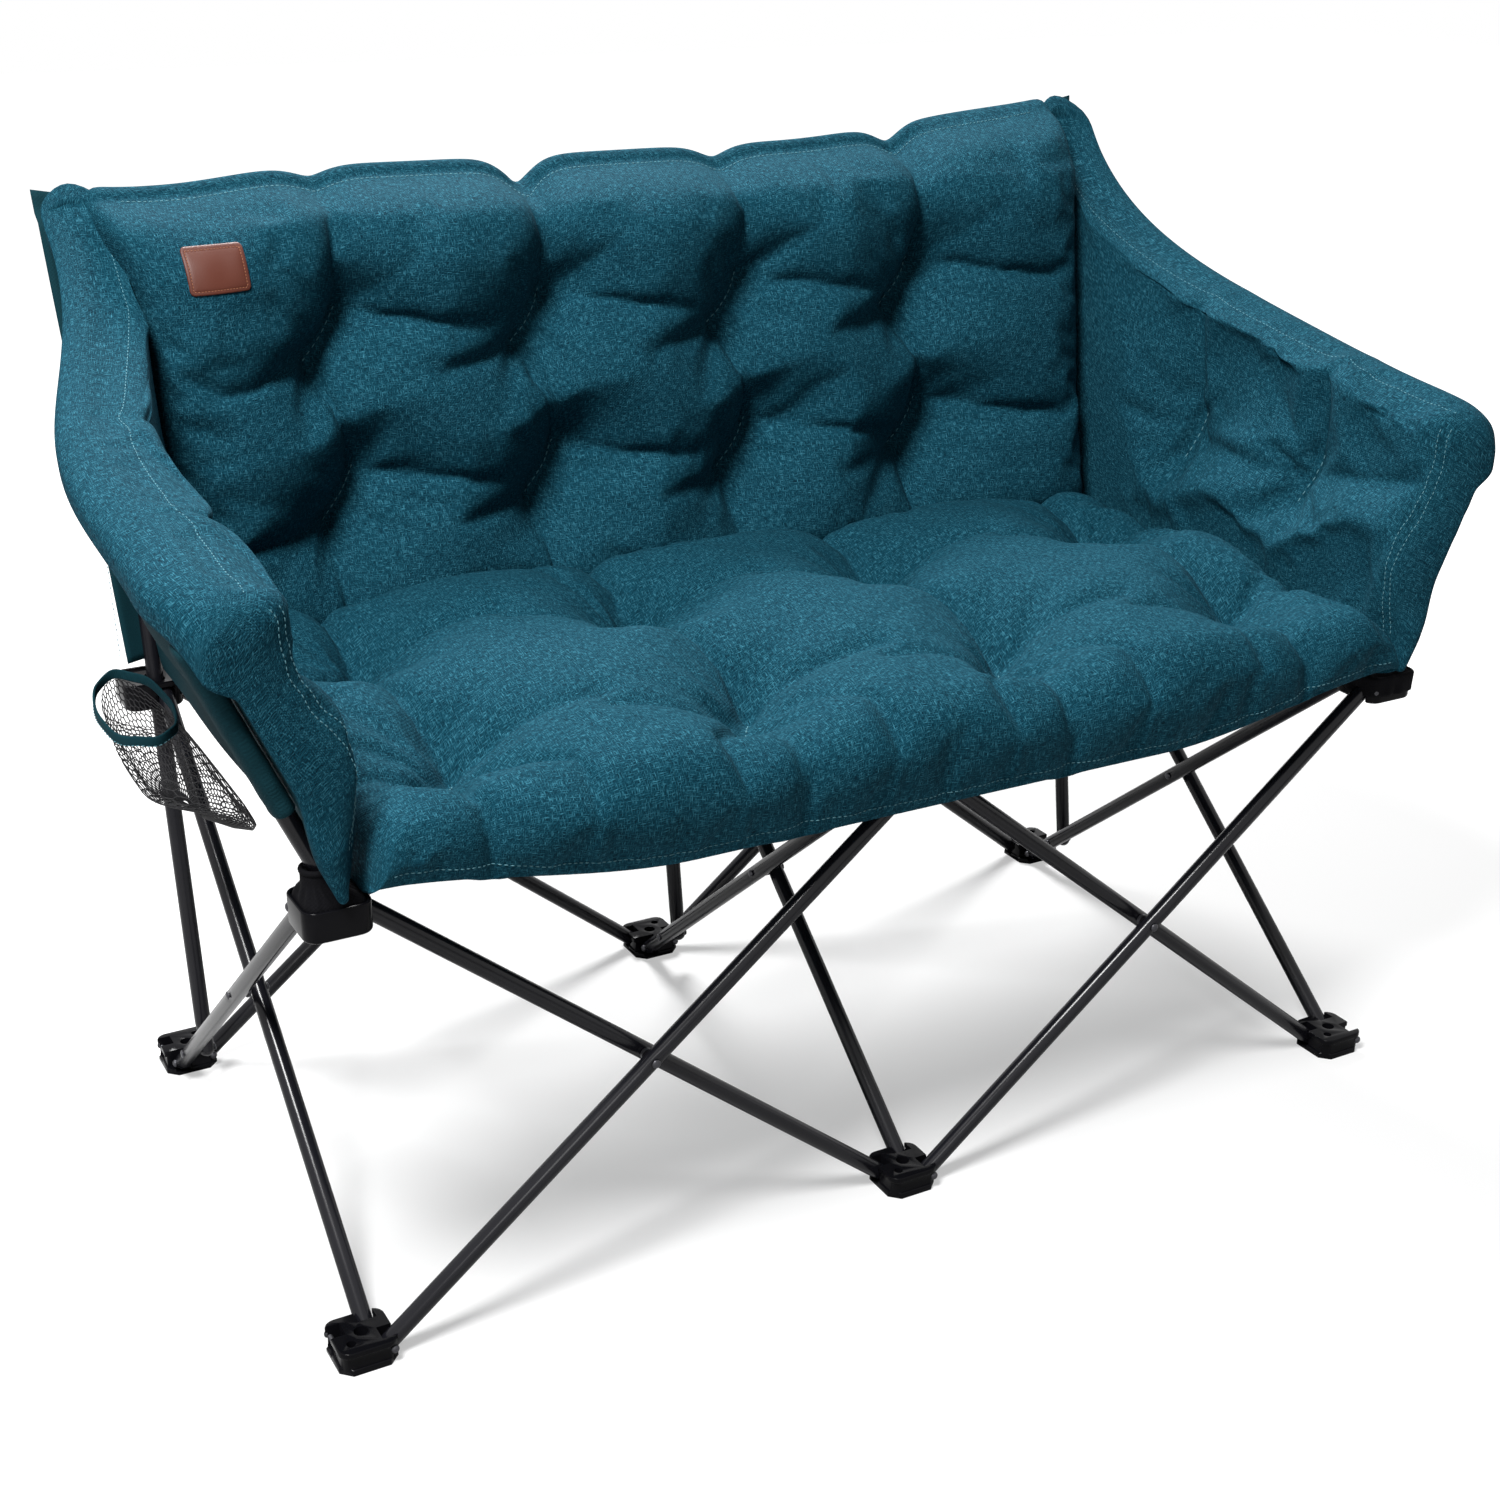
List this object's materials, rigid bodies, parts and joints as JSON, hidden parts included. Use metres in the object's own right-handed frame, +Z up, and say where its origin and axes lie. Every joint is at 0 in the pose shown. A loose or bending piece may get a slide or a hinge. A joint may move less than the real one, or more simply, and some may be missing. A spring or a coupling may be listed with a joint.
{
  "type": "folding camping loveseat",
  "caption": "Quilted folding camping seat for two on a cross-braced steel tube frame, with padded back and arms, moulded feet and a mesh cup holder.",
  "frame": {"origin": "on the ground at the middle of the whole chair's plan", "axes": "+X from the left arm to the right arm as seen from in front, +Y toward the back, +Z up"},
  "size_m": [1.3612, 0.6938, 0.941],
  "materials": {
    "frame_tube": "satin black powder coat",
    "moulding": "semi-gloss black",
    "rivet": "darkened steel",
    "quilt_cloth": "petrol melange linen look",
    "lining_cloth": "plain dark green cloth",
    "black_cloth": "black cloth",
    "black_net": "black hexagonal mesh",
    "leather": "smooth brown leather"
  },
  "bodies": {
    "foot_front_middle": {"foot_front_middle": "moulding"},
    "front_tube_rising_left_1": {"front_tube_rising_left_1": "frame_tube", "rivet_front_left": "rivet"},
    "hub_front_left": {"hub_front_left": "moulding", "corner_pocket_left": "black_cloth"},
    "side_tube_rising_front_left": {"side_tube_rising_front_left": "frame_tube", "rivet_side_left": "rivet", "rivet_back_post_left": "rivet"},
    "foot_rear_left": {"foot_rear_left": "moulding"},
    "back_post_left": {"back_post_left": "frame_tube"},
    "arm_post_left": {"arm_post_left": "frame_tube", "arm_sleeve_left": "lining_cloth"},
    "front_tube_rising_right_1": {"front_tube_rising_right_1": "frame_tube"},
    "foot_front_left": {"foot_front_left": "moulding"},
    "hub_front_middle": {"hub_front_middle": "moulding"},
    "side_tube_rising_back_left": {"side_tube_rising_back_left": "frame_tube"},
    "front_tube_rising_right_2": {"front_tube_rising_right_2": "frame_tube", "rivet_front_right": "rivet"},
    "hub_front_right": {"hub_front_right": "moulding", "corner_pocket_right": "black_cloth"},
    "side_tube_rising_front_right": {"side_tube_rising_front_right": "frame_tube", "rivet_side_right": "rivet", "rivet_back_post_right": "rivet"},
    "foot_rear_right": {"foot_rear_right": "moulding"},
    "back_post_right": {"back_post_right": "frame_tube"},
    "arm_post_right": {"arm_post_right": "frame_tube", "arm_sleeve_right": "lining_cloth"},
    "front_tube_rising_left_2": {"front_tube_rising_left_2": "frame_tube"},
    "foot_front_right": {"foot_front_right": "moulding"},
    "side_tube_rising_back_right": {"side_tube_rising_back_right": "frame_tube"},
    "side_tube_rising_back_middle": {"side_tube_rising_back_middle": "frame_tube"},
    "hub_rear_middle": {"hub_rear_middle": "moulding"},
    "rear_tube_rising_right_1": {"rear_tube_rising_right_1": "frame_tube"},
    "rear_tube_rising_left_2": {"rear_tube_rising_left_2": "frame_tube"},
    "side_tube_rising_front_middle": {"side_tube_rising_front_middle": "frame_tube", "rivet_side_middle": "rivet", "rivet_back_post_middle": "rivet"},
    "foot_rear_middle": {"foot_rear_middle": "moulding"},
    "back": {"back_post_middle": "frame_tube", "back_pad": "quilt_cloth", "back_lining": "lining_cloth", "leather_patch": "leather"},
    "rear_tube_rising_left_1": {"rear_tube_rising_left_1": "frame_tube", "rivet_rear_left": "rivet"},
    "hub_rear_left": {"hub_rear_left": "moulding"},
    "rear_tube_rising_right_2": {"rear_tube_rising_right_2": "frame_tube", "rivet_rear_right": "rivet"},
    "hub_rear_right": {"hub_rear_right": "moulding"},
    "arm_left": {"arm_pad_left": "quilt_cloth", "cup_holder_net": "black_net", "cup_holder_rim": "lining_cloth"},
    "arm_right": {"arm_pad_right": "quilt_cloth"},
    "seat_left_outer": {"seat_panel_left_outer": "quilt_cloth"},
    "seat_left_inner": {"seat_panel_left_inner": "quilt_cloth"},
    "seat_right_inner": {"seat_panel_right_inner": "quilt_cloth"},
    "seat_right_outer": {"seat_panel_right_outer": "quilt_cloth"}
  },
  "joints": [
    {"name": "fold", "type": "hinge", "parent": "foot_front_middle", "child": "front_tube_rising_left_1", "pos_m": [-0.022, -0.2795, 0.013], "axis": [0, 1, 0], "range_deg": [0, 41.86]},
    {"name": "front_left_hub_turn", "type": "hinge", "parent": "front_tube_rising_left_1", "child": "hub_front_left", "pos_m": [-0.538, -0.2795, 0.433], "axis": [0, 1, 0], "range_deg": [-41.87, 0.01]},
    {"name": "left_side_tube_turn", "type": "hinge", "parent": "hub_front_left", "child": "side_tube_rising_front_left", "pos_m": [-0.5705, -0.268, 0.433], "axis": [1, 0, 0], "range_deg": [-41.87, 0.01]},
    {"name": "rear_left_foot_turn", "type": "hinge", "parent": "side_tube_rising_front_left", "child": "foot_rear_left", "pos_m": [-0.5705, 0.248, 0.013], "axis": [1, 0, 0], "range_deg": [-0.01, 41.87]},
    {"name": "left_back_post_turn", "type": "hinge", "parent": "side_tube_rising_front_left", "child": "back_post_left", "pos_m": [-0.5534, 0.20767, 0.04583], "axis": [1, 0, 0], "range_deg": [-0.01, 47.9]},
    {"name": "left_arm_post_turn", "type": "hinge", "parent": "hub_front_left", "child": "arm_post_left", "pos_m": [-0.56, -0.296, 0.4564], "axis": [0, 1, 0], "range_deg": [-0.01, 17.01], "deforming": ["corner_pocket_left"]},
    {"name": "front_left_crossing_turn", "type": "hinge", "parent": "front_tube_rising_left_1", "child": "front_tube_rising_right_1", "pos_m": [-0.28, -0.29, 0.223], "axis": [0, 1, 0], "range_deg": [-83.72, 0.01]},
    {"name": "front_left_foot_turn", "type": "hinge", "parent": "front_tube_rising_right_1", "child": "foot_front_left", "pos_m": [-0.538, -0.3005, 0.013], "axis": [0, 1, 0], "range_deg": [-0.01, 41.87]},
    {"name": "front_middle_hub_turn", "type": "hinge", "parent": "front_tube_rising_right_1", "child": "hub_front_middle", "pos_m": [-0.022, -0.3005, 0.433], "axis": [0, 1, 0], "range_deg": [-0.01, 41.87]},
    {"name": "left_side_crossing_tube_turn", "type": "hinge", "parent": "foot_front_left", "child": "side_tube_rising_back_left", "pos_m": [-0.5495, -0.268, 0.013], "axis": [1, 0, 0], "range_deg": [-0.01, 41.87]},
    {"name": "front_right_tube_turn", "type": "hinge", "parent": "foot_front_middle", "child": "front_tube_rising_right_2", "pos_m": [0.022, -0.3005, 0.013], "axis": [0, 1, 0], "range_deg": [-41.87, 0.01]},
    {"name": "front_right_hub_turn", "type": "hinge", "parent": "front_tube_rising_right_2", "child": "hub_front_right", "pos_m": [0.538, -0.3005, 0.433], "axis": [0, 1, 0], "range_deg": [-0.01, 41.87]},
    {"name": "right_side_tube_turn", "type": "hinge", "parent": "hub_front_right", "child": "side_tube_rising_front_right", "pos_m": [0.5495, -0.268, 0.433], "axis": [1, 0, 0], "range_deg": [-41.87, 0.01]},
    {"name": "rear_right_foot_turn", "type": "hinge", "parent": "side_tube_rising_front_right", "child": "foot_rear_right", "pos_m": [0.5495, 0.248, 0.013], "axis": [1, 0, 0], "range_deg": [-0.01, 41.87]},
    {"name": "right_back_post_turn", "type": "hinge", "parent": "side_tube_rising_front_right", "child": "back_post_right", "pos_m": [0.5666, 0.20767, 0.04583], "axis": [1, 0, 0], "range_deg": [-0.01, 47.9]},
    {"name": "right_arm_post_turn", "type": "hinge", "parent": "hub_front_right", "child": "arm_post_right", "pos_m": [0.56, -0.296, 0.4564], "axis": [0, 1, 0], "range_deg": [-17.01, 0.01], "deforming": ["corner_pocket_right"]},
    {"name": "front_right_crossing_turn", "type": "hinge", "parent": "front_tube_rising_right_2", "child": "front_tube_rising_left_2", "pos_m": [0.28, -0.29, 0.223], "axis": [0, 1, 0], "range_deg": [-0.01, 83.72]},
    {"name": "front_right_foot_turn", "type": "hinge", "parent": "front_tube_rising_left_2", "child": "foot_front_right", "pos_m": [0.538, -0.2795, 0.013], "axis": [0, 1, 0], "range_deg": [-41.87, 0.01]},
    {"name": "right_side_crossing_tube_turn", "type": "hinge", "parent": "foot_front_right", "child": "side_tube_rising_back_right", "pos_m": [0.5705, -0.268, 0.013], "axis": [1, 0, 0], "range_deg": [-0.01, 41.87]},
    {"name": "middle_side_tube_turn", "type": "hinge", "parent": "foot_front_middle", "child": "side_tube_rising_back_middle", "pos_m": [0.0105, -0.268, 0.013], "axis": [1, 0, 0], "range_deg": [-0.01, 41.87]},
    {"name": "rear_middle_hub_turn", "type": "hinge", "parent": "side_tube_rising_back_middle", "child": "hub_rear_middle", "pos_m": [0.0105, 0.248, 0.433], "axis": [1, 0, 0], "range_deg": [-41.87, 0.01]},
    {"name": "rear_left_tube_turn", "type": "hinge", "parent": "hub_rear_middle", "child": "rear_tube_rising_right_1", "pos_m": [-0.022, 0.2595, 0.433], "axis": [0, 1, 0], "range_deg": [-41.87, 0.01]},
    {"name": "rear_right_tube_turn", "type": "hinge", "parent": "hub_rear_middle", "child": "rear_tube_rising_left_2", "pos_m": [0.022, 0.2805, 0.433], "axis": [0, 1, 0], "range_deg": [-0.01, 41.87]},
    {"name": "middle_side_crossing_turn", "type": "hinge", "parent": "side_tube_rising_back_middle", "child": "side_tube_rising_front_middle", "pos_m": [0, -0.01, 0.223], "axis": [1, 0, 0], "range_deg": [-83.72, 0.01]},
    {"name": "rear_middle_foot_turn", "type": "hinge", "parent": "side_tube_rising_front_middle", "child": "foot_rear_middle", "pos_m": [-0.0105, 0.248, 0.013], "axis": [1, 0, 0], "range_deg": [-0.01, 41.87]},
    {"name": "middle_back_post_turn", "type": "hinge", "parent": "side_tube_rising_front_middle", "child": "back", "pos_m": [0.0066, 0.20767, 0.04583], "axis": [1, 0, 0], "range_deg": [-0.01, 47.9], "deforming": ["back_pad", "back_lining", "leather_patch"]},
    {"name": "rear_left_crossing_tube_turn", "type": "hinge", "parent": "foot_rear_middle", "child": "rear_tube_rising_left_1", "pos_m": [-0.022, 0.2805, 0.013], "axis": [0, 1, 0], "range_deg": [-0.01, 41.87]},
    {"name": "rear_left_hub_turn", "type": "hinge", "parent": "rear_tube_rising_left_1", "child": "hub_rear_left", "pos_m": [-0.538, 0.2805, 0.433], "axis": [0, 1, 0], "range_deg": [-41.87, 0.01]},
    {"name": "rear_right_crossing_tube_turn", "type": "hinge", "parent": "foot_rear_middle", "child": "rear_tube_rising_right_2", "pos_m": [0.022, 0.2595, 0.013], "axis": [0, 1, 0], "range_deg": [-41.87, 0.01]},
    {"name": "rear_right_hub_turn", "type": "hinge", "parent": "rear_tube_rising_right_2", "child": "hub_rear_right", "pos_m": [0.538, 0.2595, 0.433], "axis": [0, 1, 0], "range_deg": [-0.01, 41.87]},
    {"name": "left_arm_turn", "type": "hinge", "parent": "hub_rear_left", "child": "arm_left", "pos_m": [-0.56, 0.27, 0.4564], "axis": [0, 1, 0], "range_deg": [-0.01, 17.01], "deforming": ["arm_pad_left", "cup_holder_net", "cup_holder_rim"]},
    {"name": "right_arm_turn", "type": "hinge", "parent": "hub_rear_right", "child": "arm_right", "pos_m": [0.56, 0.27, 0.4564], "axis": [0, 1, 0], "range_deg": [-17.01, 0.01], "deforming": ["arm_pad_right"]},
    {"name": "left_outer_seat_turn", "type": "hinge", "parent": "hub_rear_left", "child": "seat_left_outer", "pos_m": [-0.531, 0.27, 0.4477], "axis": [0, 1, 0], "range_deg": [-0.01, 74.51], "deforming": ["seat_panel_left_outer"]},
    {"name": "left_inner_seat_turn", "type": "hinge", "parent": "hub_rear_middle", "child": "seat_left_inner", "pos_m": [0, 0.27, 0.4477], "axis": [0, 1, 0], "range_deg": [-74.51, 0.01], "deforming": ["seat_panel_left_inner"]},
    {"name": "right_inner_seat_turn", "type": "hinge", "parent": "hub_rear_middle", "child": "seat_right_inner", "pos_m": [0, 0.27, 0.4477], "axis": [0, 1, 0], "range_deg": [-0.01, 74.51], "deforming": ["seat_panel_right_inner"]},
    {"name": "right_outer_seat_turn", "type": "hinge", "parent": "hub_rear_right", "child": "seat_right_outer", "pos_m": [0.531, 0.27, 0.4477], "axis": [0, 1, 0], "range_deg": [-74.51, 0.01], "deforming": ["seat_panel_right_outer"]}
  ],
  "couplings": [
    {"joint": "front_left_hub_turn", "follows": "fold", "ratio": -1},
    {"joint": "left_side_tube_turn", "follows": "fold", "ratio": -1},
    {"joint": "rear_left_foot_turn", "follows": "fold", "ratio": 1},
    {"joint": "left_back_post_turn", "follows": "fold", "ratio": 1.1442},
    {"joint": "left_arm_post_turn", "follows": "fold", "ratio": 0.40615},
    {"joint": "front_left_crossing_turn", "follows": "fold", "ratio": -2},
    {"joint": "front_left_foot_turn", "follows": "fold", "ratio": 1},
    {"joint": "front_middle_hub_turn", "follows": "fold", "ratio": 1},
    {"joint": "left_side_crossing_tube_turn", "follows": "fold", "ratio": 1},
    {"joint": "front_right_tube_turn", "follows": "fold", "ratio": -1},
    {"joint": "front_right_hub_turn", "follows": "fold", "ratio": 1},
    {"joint": "right_side_tube_turn", "follows": "fold", "ratio": -1},
    {"joint": "rear_right_foot_turn", "follows": "fold", "ratio": 1},
    {"joint": "right_back_post_turn", "follows": "fold", "ratio": 1.1442},
    {"joint": "right_arm_post_turn", "follows": "fold", "ratio": -0.40615},
    {"joint": "front_right_crossing_turn", "follows": "fold", "ratio": 2},
    {"joint": "front_right_foot_turn", "follows": "fold", "ratio": -1},
    {"joint": "right_side_crossing_tube_turn", "follows": "fold", "ratio": 1},
    {"joint": "middle_side_tube_turn", "follows": "fold", "ratio": 1},
    {"joint": "rear_middle_hub_turn", "follows": "fold", "ratio": -1},
    {"joint": "rear_left_tube_turn", "follows": "fold", "ratio": -1},
    {"joint": "rear_right_tube_turn", "follows": "fold", "ratio": 1},
    {"joint": "middle_side_crossing_turn", "follows": "fold", "ratio": -2},
    {"joint": "rear_middle_foot_turn", "follows": "fold", "ratio": 1},
    {"joint": "middle_back_post_turn", "follows": "fold", "ratio": 1.1442},
    {"joint": "rear_left_crossing_tube_turn", "follows": "fold", "ratio": 1},
    {"joint": "rear_left_hub_turn", "follows": "fold", "ratio": -1},
    {"joint": "rear_right_crossing_tube_turn", "follows": "fold", "ratio": -1},
    {"joint": "rear_right_hub_turn", "follows": "fold", "ratio": 1},
    {"joint": "left_arm_turn", "follows": "fold", "ratio": 0.40615},
    {"joint": "right_arm_turn", "follows": "fold", "ratio": -0.40615},
    {"joint": "left_outer_seat_turn", "follows": "fold", "ratio": 1.7799},
    {"joint": "left_inner_seat_turn", "follows": "fold", "ratio": -1.7799},
    {"joint": "right_inner_seat_turn", "follows": "fold", "ratio": 1.7799},
    {"joint": "right_outer_seat_turn", "follows": "fold", "ratio": -1.7799}
  ]
}
